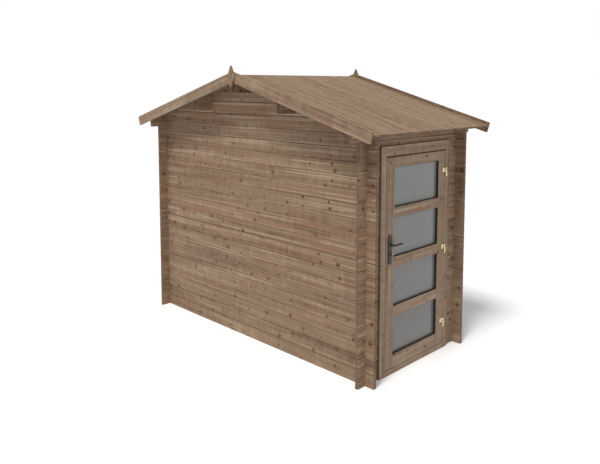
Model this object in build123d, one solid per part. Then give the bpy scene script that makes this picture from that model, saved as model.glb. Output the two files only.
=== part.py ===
from build123d import *
import math
import os

# A small garden shed of interlocking logs with a two-slope roof. Millimetres, +Z up, and the
# ground at Z = 0. The door wall faces -Y, the gable walls stand at -X and +X, and the origin
# is the middle of the footprint.

# Log walls. The logs of the door wall and the back wall lie half a course lower than the
# logs of the gable walls, so that each corner is a stack of necks that lock by turns.
LOG_PITCH = 113.0            # height of one course of logs
WALL_T = 28.0                # thickness of a log
HOUSE_WIDTH = 1320.0         # across X, outer face to outer face of the gable walls
HOUSE_LENGTH = 2820.0        # along Y, outer face to outer face of the door and back walls
LOG_TAIL_L = 90.0            # length of a log beyond the wall that it crosses
HEADER_KEEP_H = 40.0         # least height of log left over the door frame
GROOVE_DEPTH = 4.0           # V groove along each joint, on the outer face of a wall
GROOVE_HALF_H = 4.0          # half the height of that groove at the face
NOTCH_PLAY = 0.3             # clearance around a neck in its notch

# Clearance left at a seat between two fixed pieces
SEAT_GAP = 0.3

# Roof
ROOF_ANGLE = 16.0            # slope of the roof in degrees
ROOF_BOARD_T = 18.0          # thickness of the roof boards
EAVE_OVERHANG = 200.0        # level distance from the wall face to the end of the boards
GABLE_OVERHANG = 200.0       # distance from the gable wall to the outer face of a bargeboard
BARGE_T = 18.0               # thickness of a bargeboard
BARGE_DEPTH = 95.0           # depth of a bargeboard, square to the slope
BARGE_RISE = 26.0            # how far a bargeboard stands above the roof boards
PURLIN_T = 40.0              # thickness of a purlin
RIDGE_PURLIN_H = 149.0       # height of the ridge purlin
MID_PURLIN_H = 149.0         # height of a mid purlin on its middle
MID_PURLIN_Y = 593.0         # distance of a mid purlin from the ridge
FINIAL_WIDTH = 96.0          # lozenge board on each gable's peak
FINIAL_HEIGHT = 200.0
FINIAL_T = 20.0
FINIAL_DROP = 2.0            # how far the lozenge's middle lies under the boards' apex

# Door leaf, which opens outwards on the hinges at its +X side
LEAF_W = 860.0
LEAF_T = 40.0
STILE_W = 108.0
TOP_RAIL_H = 85.0
MID_RAIL_H = 87.0
BOTTOM_RAIL_H = 112.0
PANE_COUNT = 4
PANE_H = 331.0               # height of a pane that shows
GLASS_SET = 24.0             # depth of the glass behind the leaf's face
GLASS_T = 4.0
REBATE_W = 10.0              # width of the rebate that takes the glass and its bead
GLASS_PLAY = 2.0             # room around a pane in its rebate
TENON_L = 45.0
TENON_T = 13.0
TENON_SHOULDER = 16.0        # from a rail's edge to the edge of its tenon
TENON_PLAY = 0.3

# Door frame
JAMB_W = 65.0
HEAD_W = 84.0
SILL_H = 49.0
FRAME_PROUD = 18.0           # how far the frame stands out from either face of the wall
FRAME_GRIP = 15.0            # how far the logs reach into the frame's groove
SHADOW_W = 7.0               # rebate behind the frame's outer edge, along the wall
SHADOW_D = 9.0               # depth of that rebate, out from the wall
STOP_W = 15.0                # how far the frame's stop reaches behind the leaf
SIDE_GAP = 5.0               # between the leaf and a jamb
SILL_GAP = 5.0               # under the leaf
HEAD_GAP = 10.0              # over the leaf
STOP_GAP = 5.0               # between the leaf and the stop

# Lift-off hinges
HINGE_HEIGHTS = (248.0, 940.0, 1643.0)
FLAG_W = 48.0                # width of a hinge's flag, from the axis
FLAG_H = 40.0                # height of a flag, half the hinge
FLAG_T = 2.5
FLAG_CORNER_R = 16.0
BARREL_R = 6.0
BARREL_TIP_H = 4.0           # tapered button on either end of the barrel
BARREL_TIP_R = 3.0
AXIS_OUT = 7.0               # distance of the hinge axis in front of the leaf's face
BARREL_GAP = 0.5             # between the two halves of the barrel
PIN_R = 3.0
PIN_L = 30.0
PIN_PLAY = 0.06              # radial running clearance of the pin

# Lock, its plates and the lever handles
BACKSET = 52.0               # from the leaf's edge to the lever's spindle
PANES_UNDER_LOCK = 2
LEVER_RISE = 115.0           # from the rail under the lock up to the spindle
KEY_DROP = 72.0              # from the spindle down to the keyhole
PLATE_W = 44.0
PLATE_H = 250.0
PLATE_T = 8.0
PLATE_RISE = 83.0            # from the spindle up to the top of a plate
PLATE_BEVEL = 2.0
KEYHOLE_R = 5.0
KEY_SLOT_W = 5.0
KEY_SLOT_H = 16.0
NECK_R = 8.0
NECK_PLAY = 0.4              # between a lever's neck and its plate
NECK_COLLAR = 6.0            # how far the thicker neck stands out of its plate
LEVER_STAND = 48.0           # from the leaf's face to the middle of a lever's arm
LEVER_REACH = 112.0          # from the spindle to the arm's end
LEVER_BEND = 14.0            # cut across the corner between the neck and the arm
GRIP_R = 7.5
SPINDLE_SIDE = 8.0
SPINDLE_PLAY = 0.8           # between the spindle's corners and the lock's bore
SPINDLE_INSET = 6.0          # how deep the spindle seats in a lever's neck
CASE_T = 15.0
CASE_D = 84.0
CASE_H = 150.0
CASE_RISE = 48.0             # from the spindle up to the top of the lock case
FOREND_W = 20.0
FOREND_H = 210.0
FOREND_T = 3.0
STRIKE_W = 22.0
STRIKE_H = 170.0
STRIKE_T = 2.5
STRIKE_PLAY = 0.3
LATCH_SLOT_H = 30.0
BOLT_SLOT_H = 36.0
SLOT_W = 14.0
SLOT_DEPTH = 18.0            # depth of the pockets in the jamb behind the strike plate

# Floor
FLOOR_BOARD_T = 18.0
BEARER_W = 60.0
BEARER_COUNT = 4
FLOOR_SIDE_GAP = 0.5

# Values that follow from the sizes above. The door wall has as many whole courses over its
# first half course as keep the header log strong over the frame, and the plate on top.
HALF_W = HOUSE_WIDTH / 2
HALF_L = HOUSE_LENGTH / 2
LEAF_H = BOTTOM_RAIL_H + PANE_COUNT * PANE_H + (PANE_COUNT - 1) * MID_RAIL_H + TOP_RAIL_H
LEAF_Z = SILL_H + SILL_GAP
FRAME_IN_X = LEAF_W / 2 + SIDE_GAP
FRAME_OUT_X = FRAME_IN_X + JAMB_W
HEAD_Z = LEAF_Z + LEAF_H + HEAD_GAP
FRAME_TOP_Z = HEAD_Z + HEAD_W
HEADER_COURSES = math.ceil((FRAME_TOP_Z + HEADER_KEEP_H) / LOG_PITCH - 1 / 2)
PLATE_Z = (HEADER_COURSES + 1 / 2) * LOG_PITCH
HEADER_Z = PLATE_Z - LOG_PITCH
EAVE_Z = PLATE_Z + LOG_PITCH
SLOPE = math.tan(math.radians(ROOF_ANGLE))
APEX_Z = EAVE_Z + SLOPE * HALF_L
BARGE_IN_X = HALF_W + GABLE_OVERHANG - BARGE_T
EAVE_Y = HALF_L + EAVE_OVERHANG
DOOR_WALL_Y = -HALF_L
FRAME_FRONT_Y = DOOR_WALL_Y - FRAME_PROUD
FRAME_BACK_Y = DOOR_WALL_Y + WALL_T + FRAME_PROUD
LEAF_BACK_Y = FRAME_FRONT_Y + LEAF_T
STOP_Y = LEAF_BACK_Y + STOP_GAP
PANE_HALF_W = LEAF_W / 2 - STILE_W
GLASS_Y = FRAME_FRONT_Y + GLASS_SET
AXIS_X = LEAF_W / 2 + SIDE_GAP / 2
AXIS_Y = FRAME_FRONT_Y - AXIS_OUT
LEVER_X = -(LEAF_W / 2 - BACKSET)
LEVER_Z = LEAF_Z + BOTTOM_RAIL_H + PANES_UNDER_LOCK * (PANE_H + MID_RAIL_H) + LEVER_RISE
KEY_Z = LEVER_Z - KEY_DROP


def box(x, y, z):
    """A box from its low and high limit along each axis."""
    size = (x[1] - x[0], y[1] - y[0], z[1] - z[0])
    middle = ((x[0] + x[1]) / 2, (y[0] + y[1]) / 2, (z[0] + z[1]) / 2)
    return Pos(*middle) * Box(*size)


def prism(points, plane, depth):
    """A closed outline drawn on a plane and extruded along the plane's normal."""
    return extrude(plane * make_face(Polyline(*points, close=True)), depth)


def save(name, shape):
    """Writes one piece, or several like pieces that do not touch, as one file."""
    shape.label = name
    export_step(shape, f"parts/{name}.step")


def roof_z(y):
    """Height of the roof boards' underside at a distance y from the ridge."""
    return APEX_Z - SLOPE * abs(y)


def under_roof(half_x, low_z):
    """The space below the roof boards, which cuts walls, plates and purlins to the slope."""
    top = APEX_Z - SEAT_GAP
    far_y = EAVE_Y
    far_z = top - SLOPE * far_y
    points = [(-far_y, low_z), (far_y, low_z), (far_y, far_z), (0, top), (-far_y, far_z)]
    return prism(points, Plane.YZ.offset(-half_x), 2 * half_x)


def log_profile(low_z, high_z, first_joint):
    """Section of stacked logs: a flat inner face, and V grooves in the outer one at the joints."""
    face = WALL_T / 2
    heights = []
    count = math.floor((high_z - first_joint) / LOG_PITCH + 1e-6)
    joints = [first_joint + i * LOG_PITCH for i in range(count + 1)]
    for z in joints:
        heights += [(face, z - GROOVE_HALF_H), (face - GROOVE_DEPTH, z), (face, z + GROOVE_HALF_H)]
    side = [(depth, z) for depth, z in heights if low_z < z < high_z]
    outer = [end_point(low_z, joints), *side, end_point(high_z, joints)]
    return outer + [(-face, high_z), (-face, low_z)]


def end_point(z, joints):
    """Where a stack ends: at the groove's bottom if it ends on a joint, or else at the face."""
    on_joint = any(abs(z - joint) < 1e-6 for joint in joints)
    return (WALL_T / 2 - (GROOVE_DEPTH if on_joint else 0), z)


def gable_stack(high_z):
    """A blank of gable logs along Y, grooved on +X, with joints at whole courses."""
    points = log_profile(0, high_z, LOG_PITCH)
    length = HOUSE_LENGTH + 2 * LOG_TAIL_L
    return prism(points, Plane.XZ.offset(-length / 2), length)


def cross_stack(low_z, high_z, half_x):
    """A blank of door-wall logs along X, grooved on +Y, with joints at half courses."""
    points = log_profile(low_z, high_z, LOG_PITCH / 2)
    return prism(points, Plane.YZ.offset(-half_x), 2 * half_x)


def notches(first_z, high_z, x, y):
    """Openings a half course high at every course from first_z, through the limits x and y."""
    half_h = LOG_PITCH / 4 + NOTCH_PLAY / 2
    count = math.floor((high_z - first_z) / LOG_PITCH) + 2
    middles = [first_z + i * LOG_PITCH for i in range(count)]
    return [box(x, y, (z - half_h, z + half_h)) for z in middles]


def crossing(outer_face):
    """Limits of the strip in which one wall crosses the other, with the notch clearance."""
    return (outer_face - WALL_T - NOTCH_PLAY, outer_face + NOTCH_PLAY)


def mirrored(limits):
    """The same limits on the other side of the middle."""
    return (-limits[1], -limits[0])


def purlin(y, height):
    """A roof beam from bargeboard to bargeboard, its top cut to the slope."""
    half_x = BARGE_IN_X - SEAT_GAP
    half_y = PURLIN_T / 2
    blank = box((-half_x, half_x), (y - half_y, y + half_y), (roof_z(y) - height, APEX_Z))
    return blank & under_roof(half_x + 1, 0)


def purlin_slot(y, height):
    """The slot for a purlin through a gable wall, open to the roof."""
    half_y = PURLIN_T / 2 + SEAT_GAP
    low_z = roof_z(y) - height - SEAT_GAP
    return box((-WALL_T, WALL_T), (y - half_y, y + half_y), (low_z, APEX_Z + 1))


def gable_wall(side):
    """One gable wall: logs notched for the two cross walls and cut to the roof."""
    wall = gable_stack(APEX_Z) & under_roof(WALL_T, -1)
    through = (-WALL_T, WALL_T)
    strip = crossing(HALF_L)
    cuts = notches(0, EAVE_Z, through, strip) + notches(0, EAVE_Z, through, mirrored(strip))
    cuts += [purlin_slot(0, RIDGE_PURLIN_H)]
    cuts += [purlin_slot(y, MID_PURLIN_H) for y in (-MID_PURLIN_Y, MID_PURLIN_Y)]
    cuts += [plate_slot(y) for y in (-1, 1)]
    placed = Pos(HALF_W - WALL_T / 2, 0, 0) * (wall - cuts)
    return placed if side > 0 else mirror(placed, Plane.YZ)


def plate_slot(end):
    """Room in a gable wall for the wall plate's neck, up to the roof's underside."""
    strip = crossing(HALF_L)
    y = strip if end > 0 else mirrored(strip)
    low_z = PLATE_Z + LOG_PITCH / 4 - NOTCH_PLAY / 2
    high_z = PLATE_Z + LOG_PITCH * 3 / 4 + NOTCH_PLAY / 2
    return box((-WALL_T, WALL_T), y, (low_z, high_z))


def cross_wall(low_z, high_z, x, end):
    """Part of the door wall (end -1) or the back wall (end 1) between two limits in X."""
    half_x = HALF_W + LOG_TAIL_L
    wall = cross_stack(low_z, high_z, half_x) & box(x, (-WALL_T, WALL_T), (low_z - 1, high_z + 1))
    strip = crossing(HALF_W)
    through = (-WALL_T, WALL_T)
    first = LOG_PITCH / 2
    cuts = notches(first, high_z, strip, through) + notches(first, high_z, mirrored(strip), through)
    placed = Pos(0, HALF_L - WALL_T / 2, 0) * (wall - cuts)
    return placed if end > 0 else mirror(placed, Plane.XZ)


def wall_plate(end):
    """The top log of the door wall or back wall, out to the bargeboards and cut to the slope."""
    half_x = BARGE_IN_X - SEAT_GAP
    log = cross_stack(PLATE_Z, EAVE_Z + WALL_T, half_x)
    strip = crossing(HALF_W)
    through = (-WALL_T, WALL_T)
    cuts = notches(PLATE_Z, EAVE_Z, strip, through) + notches(PLATE_Z, EAVE_Z, mirrored(strip), through)
    placed = Pos(0, HALF_L - WALL_T / 2, 0) * (log - cuts) & under_roof(half_x + 1, 0)
    return placed if end > 0 else mirror(placed, Plane.XZ)


def frame_hole(play):
    """The space in the door wall that the frame's groove closes around."""
    half_x = FRAME_OUT_X - FRAME_GRIP + play
    top = FRAME_TOP_Z - FRAME_GRIP + play
    return box((-half_x, half_x), (-HOUSE_LENGTH, 0), (-1, top))


def door_wall_side(side):
    """The short stack of logs between a corner and the door frame."""
    inner = FRAME_OUT_X - FRAME_GRIP + SEAT_GAP
    outer = HALF_W + LOG_TAIL_L
    x = (inner, outer) if side > 0 else (-outer, -inner)
    return cross_wall(0, HEADER_Z, x, -1)


def door_wall_header():
    """The log over the doorway, let down over the head of the frame."""
    half_x = HALF_W + LOG_TAIL_L
    return cross_wall(HEADER_Z, PLATE_Z, (-half_x, half_x), -1) - frame_hole(SEAT_GAP)


def frame_grooves():
    """What the wall logs and the shadow rebate take out of the frame's outer edge."""
    far = FRAME_OUT_X + 1
    high = FRAME_TOP_Z + 1
    wall = box((-far, far), (DOOR_WALL_Y - SEAT_GAP, DOOR_WALL_Y + WALL_T + SEAT_GAP), (-1, high))
    shadow = box((-far, far), (DOOR_WALL_Y - SHADOW_D, DOOR_WALL_Y), (-1, high))
    half_x = FRAME_OUT_X - SHADOW_W
    core = box((-half_x, half_x), (-HOUSE_LENGTH, 0), (-2, FRAME_TOP_Z - SHADOW_W))
    return (wall - frame_hole(0)) + (shadow - core)


def leaf_space():
    """The room that the leaf needs inside the frame, from the front up to the stop."""
    return box((-FRAME_IN_X, FRAME_IN_X), (FRAME_FRONT_Y - 1, STOP_Y), (SILL_H, HEAD_Z))


def frame_jamb(side):
    """An upright of the door frame with its stop, and a groove for the log ends."""
    inner = FRAME_IN_X - STOP_W
    x = (inner, FRAME_OUT_X) if side > 0 else (-FRAME_OUT_X, -inner)
    post = box(x, (FRAME_FRONT_Y, FRAME_BACK_Y), (0, FRAME_TOP_Z))
    rebate = box((-FRAME_IN_X, FRAME_IN_X), (FRAME_FRONT_Y - 1, STOP_Y), (-1, FRAME_TOP_Z + 1))
    jamb = post - rebate - frame_grooves()
    if side < 0:
        jamb = jamb - strike_seat()
    return jamb - frame_rail_space()


def frame_rail_space():
    """The ends of the head and the sill, let into the jambs behind the rebate."""
    half_x = FRAME_IN_X + SEAT_GAP
    y = (STOP_Y, FRAME_BACK_Y + 1)
    head = box((-half_x, half_x), y, (HEAD_Z - STOP_W - SEAT_GAP, FRAME_TOP_Z + 1))
    sill = box((-half_x, half_x), y, (-1, SILL_H + STOP_W + SEAT_GAP))
    return head + sill


def frame_head():
    """The top of the door frame between the jambs, with its stop."""
    half_x = FRAME_IN_X - SEAT_GAP
    low_z = HEAD_Z - STOP_W
    head = box((-half_x, half_x), (FRAME_FRONT_Y, FRAME_BACK_Y), (low_z, FRAME_TOP_Z))
    return head - leaf_space() - frame_grooves()


def frame_sill():
    """The threshold between the jambs, with its stop."""
    half_x = FRAME_IN_X - SEAT_GAP
    sill = box((-half_x, half_x), (FRAME_FRONT_Y, FRAME_BACK_Y), (0, SILL_H + STOP_W))
    return sill - leaf_space()


def roof_slope(end):
    """One slope of roof boards, met on the ridge's plumb line and cut square at the eave."""
    run = EAVE_Y / math.cos(math.radians(ROOF_ANGLE))
    length = run + ROOF_BOARD_T
    board = box((-BARGE_IN_X + SEAT_GAP, BARGE_IN_X - SEAT_GAP), (-length, run), (0, ROOF_BOARD_T))
    placed = Pos(0, 0, APEX_Z) * Rot(-ROOF_ANGLE, 0, 0) * board
    half = placed & box((-BARGE_IN_X, BARGE_IN_X), (SEAT_GAP / 2, HOUSE_LENGTH), (0, 2 * APEX_Z))
    return half if end > 0 else mirror(half, Plane.XZ)


def bargeboard(side, end):
    """A board on the roof's edge, from the plumb joint at the peak to the eave."""
    run = EAVE_Y / math.cos(math.radians(ROOF_ANGLE))
    top = ROOF_BOARD_T + BARGE_RISE
    x = (BARGE_IN_X, BARGE_IN_X + BARGE_T)
    board = box(x, (-BARGE_DEPTH, run), (top - BARGE_DEPTH, top))
    placed = Pos(0, 0, APEX_Z) * Rot(-ROOF_ANGLE, 0, 0) * board
    half = placed & box((0, HOUSE_LENGTH), (SEAT_GAP / 2, HOUSE_LENGTH), (0, 2 * APEX_Z))
    half = half if end > 0 else mirror(half, Plane.XZ)
    return half if side > 0 else mirror(half, Plane.YZ)


def finial(side):
    """The lozenge board that covers the bargeboards' joint."""
    middle_z = APEX_Z - FINIAL_DROP
    half_w = FINIAL_WIDTH / 2
    half_h = FINIAL_HEIGHT / 2
    points = [(0, middle_z - half_h), (half_w, middle_z), (0, middle_z + half_h), (-half_w, middle_z)]
    inner = BARGE_IN_X + BARGE_T + SEAT_GAP
    board = prism(points, Plane.YZ.offset(inner), FINIAL_T)
    return board if side > 0 else mirror(board, Plane.YZ)


def pane_heights():
    """The lower edge of each pane that shows, from the bottom up."""
    step = PANE_H + MID_RAIL_H
    return [LEAF_Z + BOTTOM_RAIL_H + i * step for i in range(PANE_COUNT)]


def pane_box(grow, y):
    """The four pane openings, grown on every side, between two limits in Y."""
    half_x = PANE_HALF_W + grow
    return [box((-half_x, half_x), y, (z - grow, z + PANE_H + grow)) for z in pane_heights()]


def glazing_rebates():
    """Rebates for the glass and the beads, open to the inside of the shed."""
    return pane_box(REBATE_W, (GLASS_Y, LEAF_BACK_Y + 1))


def rail_limits():
    """Lower and upper edge of every rail of the leaf, from the bottom up."""
    panes = pane_heights()
    edges = [LEAF_Z]
    for z in panes:
        edges += [z, z + PANE_H]
    edges.append(LEAF_Z + LEAF_H)
    return list(zip(edges[0::2], edges[1::2]))


def tenon(z, side, play):
    """One tenon of a rail, or with play its mortise in the stile."""
    root = PANE_HALF_W - REBATE_W
    x = (root, PANE_HALF_W + TENON_L + play)
    x = x if side > 0 else mirrored(x)
    middle_y = FRAME_FRONT_Y + GLASS_SET / 2
    y = (middle_y - TENON_T / 2 - play, middle_y + TENON_T / 2 + play)
    return box(x, y, (z[0] + TENON_SHOULDER - play, z[1] - TENON_SHOULDER + play))


def leaf_rail(z):
    """A rail of the leaf with its two tenons and the rebates along its edges."""
    half_x = PANE_HALF_W - SEAT_GAP / 2
    rail = box((-half_x, half_x), (FRAME_FRONT_Y, LEAF_BACK_Y), z) - glazing_rebates()
    return rail + tenon(z, -1, 0) + tenon(z, 1, 0)


def leaf_stile(side):
    """An upright of the leaf, mortised for the rails and rebated for the glass."""
    x = (PANE_HALF_W, LEAF_W / 2)
    x = x if side > 0 else mirrored(x)
    stile = box(x, (FRAME_FRONT_Y, LEAF_BACK_Y), (LEAF_Z, LEAF_Z + LEAF_H))
    cuts = glazing_rebates() + [tenon(z, side, TENON_PLAY) for z in rail_limits()]
    if side < 0:
        cuts += lock_mortise()
    return stile - cuts


def glass_panes():
    """The four panes, seated in the rebates with a little room around each."""
    grow = REBATE_W - GLASS_PLAY
    y = (GLASS_Y + SEAT_GAP, GLASS_Y + SEAT_GAP + GLASS_T)
    return pane_box(grow, y)


def glazing_beads():
    """A frame of thin beads behind each pane."""
    y = (GLASS_Y + GLASS_T + 2 * SEAT_GAP, LEAF_BACK_Y)
    outer = pane_box(REBATE_W - SEAT_GAP, y)
    inner = pane_box(0, (y[0] - 1, y[1] + 1))
    return [ring - hole for ring, hole in zip(outer, inner)]


def lock_mortise():
    """What the lock, its forend and the spindle take out of the lock stile."""
    play = TENON_PLAY
    edge = -LEAF_W / 2
    middle_y = (FRAME_FRONT_Y + LEAF_BACK_Y) / 2
    half_t = CASE_T / 2 + play
    top = LEVER_Z + CASE_RISE
    case = box(
        (edge - 1, edge + CASE_D + play),
        (middle_y - half_t, middle_y + half_t),
        (top - CASE_H - play, top + play),
    )
    half_w = FOREND_W / 2 + play
    half_h = FOREND_H / 2 + play
    middle_z = top - CASE_H / 2
    forend = box(
        (edge - 1, edge + FOREND_T + play),
        (middle_y - half_w, middle_y + half_w),
        (middle_z - half_h, middle_z + half_h),
    )
    bore = cylinder_y(LEVER_X, LEVER_Z, NECK_R + NECK_PLAY, (FRAME_FRONT_Y - 1, LEAF_BACK_Y + 1))
    return [case, forend, bore, keyway((FRAME_FRONT_Y - 1, LEAF_BACK_Y + 1))]


def cylinder_y(x, z, radius, y):
    """A cylinder along Y between two limits."""
    turned = Pos(x, (y[0] + y[1]) / 2, z) * Rot(90, 0, 0)
    return turned * Cylinder(radius, y[1] - y[0])


def keyway(y):
    """A keyhole between two limits in Y: a round hole with a slot below it."""
    hole = cylinder_y(LEVER_X, KEY_Z, KEYHOLE_R, y)
    half_w = KEY_SLOT_W / 2
    return hole + box((LEVER_X - half_w, LEVER_X + half_w), y, (KEY_Z - KEY_SLOT_H, KEY_Z))


def lock_case():
    """The lock in its mortise, with the forend and its two drawn-in bolts on the leaf's edge."""
    edge = -LEAF_W / 2
    middle_y = (FRAME_FRONT_Y + LEAF_BACK_Y) / 2
    top = LEVER_Z + CASE_RISE
    case = box(
        (edge + FOREND_T, edge + CASE_D),
        (middle_y - CASE_T / 2, middle_y + CASE_T / 2),
        (top - CASE_H, top),
    )
    middle_z = top - CASE_H / 2
    half_h = FOREND_H / 2
    forend = box(
        (edge, edge + FOREND_T),
        (middle_y - FOREND_W / 2, middle_y + FOREND_W / 2),
        (middle_z - half_h, middle_z + half_h),
    )
    bore_r = SPINDLE_SIDE / math.sqrt(2) + SPINDLE_PLAY
    through = (FRAME_FRONT_Y - 1, LEAF_BACK_Y + 1)
    return case + forend - cylinder_y(LEVER_X, LEVER_Z, bore_r, through) - keyway(through)


def lock_plate(end):
    """A long plate with round ends on one face of the leaf: end -1 outside, 1 inside."""
    middle_z = LEVER_Z + PLATE_RISE - PLATE_H / 2
    outline = SlotOverall(PLATE_H, PLATE_W, rotation=90)
    plate = extrude(Plane.XZ * outline, PLATE_T)
    front = plate.faces().sort_by(Axis.Y)[0]
    plate = chamfer(front.edges(), PLATE_BEVEL)
    if end > 0:
        plate = mirror(plate, Plane.XZ)
        placed = Pos(LEVER_X, LEAF_BACK_Y + SEAT_GAP, middle_z) * plate
    else:
        placed = Pos(LEVER_X, FRAME_FRONT_Y - SEAT_GAP, middle_z) * plate
    through = (FRAME_FRONT_Y - 2 * PLATE_T, LEAF_BACK_Y + 2 * PLATE_T)
    bore = cylinder_y(LEVER_X, LEVER_Z, NECK_R + NECK_PLAY, through)
    return placed - bore - keyway(through)


def lever(end):
    """A round bar carried from the neck across the corner into the arm: end -1 outside."""
    face = FRAME_FRONT_Y if end < 0 else LEAF_BACK_Y
    stand_y = face + end * LEVER_STAND
    path = Polyline(
        (LEVER_X, face + end * SEAT_GAP, LEVER_Z),
        (LEVER_X, stand_y - end * LEVER_BEND, LEVER_Z),
        (LEVER_X + LEVER_BEND, stand_y, LEVER_Z),
        (LEVER_X + LEVER_REACH, stand_y, LEVER_Z),
    )
    section = Plane(origin=path @ 0, z_dir=(0, end, 0)) * Circle(GRIP_R)
    bar = sweep(section, path=path, transition=Transition.RIGHT)
    neck_y = sorted((face - end * SPINDLE_INSET / 2, face + end * (PLATE_T + NECK_COLLAR)))
    neck = cylinder_y(LEVER_X, LEVER_Z, NECK_R, neck_y)
    socket_y = sorted((face - end * SPINDLE_INSET, face + end * SPINDLE_INSET))
    half = SPINDLE_SIDE / 2 + SEAT_GAP
    socket = box((LEVER_X - half, LEVER_X + half), socket_y, (LEVER_Z - half, LEVER_Z + half))
    return bar + neck - socket


def spindle():
    """The square bar that joins the two levers through the lock."""
    half = SPINDLE_SIDE / 2
    reach = SPINDLE_INSET - SEAT_GAP
    y = (FRAME_FRONT_Y - reach, LEAF_BACK_Y + reach)
    return box((LEVER_X - half, LEVER_X + half), y, (LEVER_Z - half, LEVER_Z + half))


def strike_limits(play):
    """Limits in Y and Z of the strike plate on the lock jamb."""
    middle_y = (FRAME_FRONT_Y + LEAF_BACK_Y) / 2
    middle_z = LEVER_Z + CASE_RISE - CASE_H / 2
    half_w = STRIKE_W / 2 + play
    half_h = STRIKE_H / 2 + play
    return (middle_y - half_w, middle_y + half_w), (middle_z - half_h, middle_z + half_h)


def strike_slots(x):
    """The openings for the latch and the bolt, between two limits in X."""
    middle_y = (FRAME_FRONT_Y + LEAF_BACK_Y) / 2
    y = (middle_y - SLOT_W / 2, middle_y + SLOT_W / 2)
    latch = box(x, y, (LEVER_Z - LATCH_SLOT_H / 2, LEVER_Z + LATCH_SLOT_H / 2))
    bolt = box(x, y, (KEY_Z - BOLT_SLOT_H / 2 - KEY_SLOT_W, KEY_Z + BOLT_SLOT_H / 2 - KEY_SLOT_W))
    return latch + bolt


def strike_seat():
    """The recess and the pockets for the strike plate in the lock jamb."""
    y, z = strike_limits(STRIKE_PLAY)
    face = -FRAME_IN_X
    recess = box((face - STRIKE_T - SEAT_GAP, face + 1), y, z)
    return recess + strike_slots((face - SLOT_DEPTH, face))


def strike_plate():
    """The strike plate, let in flush with the lock jamb."""
    y, z = strike_limits(0)
    face = -FRAME_IN_X
    return box((face - STRIKE_T, face), y, z) - strike_slots((face - STRIKE_T - 1, face + 1))


def hinge_flag(side, low_z):
    """A flag with rounded outer corners and its half of the barrel: side -1 on the leaf."""
    x = (0, FLAG_W) if side > 0 else (-FLAG_W, 0)
    back_y = AXIS_OUT - SEAT_GAP
    y = (back_y - FLAG_T, back_y)
    flag = box(x, y, (low_z, low_z + FLAG_H))
    outer = flag.edges().filter_by(Axis.Y).sort_by(Axis.X)
    corners = outer[-2:] if side > 0 else outer[:2]
    flag = fillet(corners, FLAG_CORNER_R)
    return flag + Pos(0, 0, low_z + FLAG_H / 2) * Cylinder(BARREL_R, FLAG_H)


def hinge_leaf_half(z):
    """The upper half of a hinge, which the leaf carries, bored for the pin."""
    low_z = BARREL_GAP / 2
    half = hinge_flag(-1, low_z)
    bore_l = PIN_L + 1
    bore = Pos(0, 0, low_z + bore_l / 2) * Cylinder(PIN_R + PIN_PLAY, bore_l)
    tip = Pos(0, 0, low_z + FLAG_H + BARREL_TIP_H / 2) * Cone(BARREL_R, BARREL_TIP_R, BARREL_TIP_H)
    return Pos(AXIS_X, AXIS_Y, z) * (half + tip - bore)


def hinge_frame_half(z):
    """The lower half of a hinge on the jamb, with the pin that the leaf hangs on."""
    low_z = -FLAG_H - BARREL_GAP / 2
    half = hinge_flag(1, low_z)
    pin = Pos(0, 0, PIN_L / 2 - BARREL_GAP) * Cylinder(PIN_R, PIN_L)
    tip = Pos(0, 0, low_z - BARREL_TIP_H / 2) * Cone(BARREL_TIP_R, BARREL_R, BARREL_TIP_H)
    return Pos(AXIS_X, AXIS_Y, z) * (half + pin + tip)


def floor_limits():
    """Limits of the floor between the walls, up to the back of the threshold."""
    half_x = HALF_W - WALL_T - FLOOR_SIDE_GAP
    y = (FRAME_BACK_Y + FLOOR_SIDE_GAP, HALF_L - WALL_T - FLOOR_SIDE_GAP)
    return (-half_x, half_x), y


def floor_boards():
    """The boarded floor, level with the threshold's front."""
    x, y = floor_limits()
    return box(x, y, (SILL_H - FLOOR_BOARD_T, SILL_H))


def floor_bearers():
    """Bearers on the ground along the shed, under the floor boards."""
    x, y = floor_limits()
    step = (x[1] - x[0] - BEARER_W) / (BEARER_COUNT - 1)
    z = (0, SILL_H - FLOOR_BOARD_T - SEAT_GAP)
    starts = [x[0] + i * step for i in range(BEARER_COUNT)]
    return [box((start, start + BEARER_W), y, z) for start in starts]


def save_walls():
    """The log walls and their plates."""
    half_x = HALF_W + LOG_TAIL_L
    save("gable_wall_left", gable_wall(-1))
    save("gable_wall_right", gable_wall(1))
    save("back_wall", cross_wall(0, PLATE_Z, (-half_x, half_x), 1))
    save("front_wall_left", door_wall_side(-1))
    save("front_wall_right", door_wall_side(1))
    save("front_wall_header", door_wall_header())
    save("front_wall_plate", wall_plate(-1))
    save("back_wall_plate", wall_plate(1))


def save_roof():
    """The purlins, the boarded slopes, and the trim on the gables."""
    save("ridge_purlin", purlin(0, RIDGE_PURLIN_H))
    save("front_purlin", purlin(-MID_PURLIN_Y, MID_PURLIN_H))
    save("back_purlin", purlin(MID_PURLIN_Y, MID_PURLIN_H))
    save("roof_front_slope", roof_slope(-1))
    save("roof_back_slope", roof_slope(1))
    for side, side_name in ((-1, "left"), (1, "right")):
        for end, end_name in ((-1, "front"), (1, "back")):
            save(f"bargeboard_{side_name}_{end_name}", bargeboard(side, end))
        save(f"finial_{side_name}", finial(side))


def save_frame():
    """The door frame, its strike plate and the hinge halves on it, and the floor."""
    save("frame_jamb_lock_side", frame_jamb(-1))
    save("frame_jamb_hinge_side", frame_jamb(1))
    save("frame_head", frame_head())
    save("frame_sill", frame_sill())
    save("strike_plate", strike_plate())
    save("hinge_frame_halves", Compound([hinge_frame_half(z) for z in HINGE_HEIGHTS]))
    save("floor_boards", floor_boards())
    save("floor_bearers", Compound(floor_bearers()))


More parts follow.
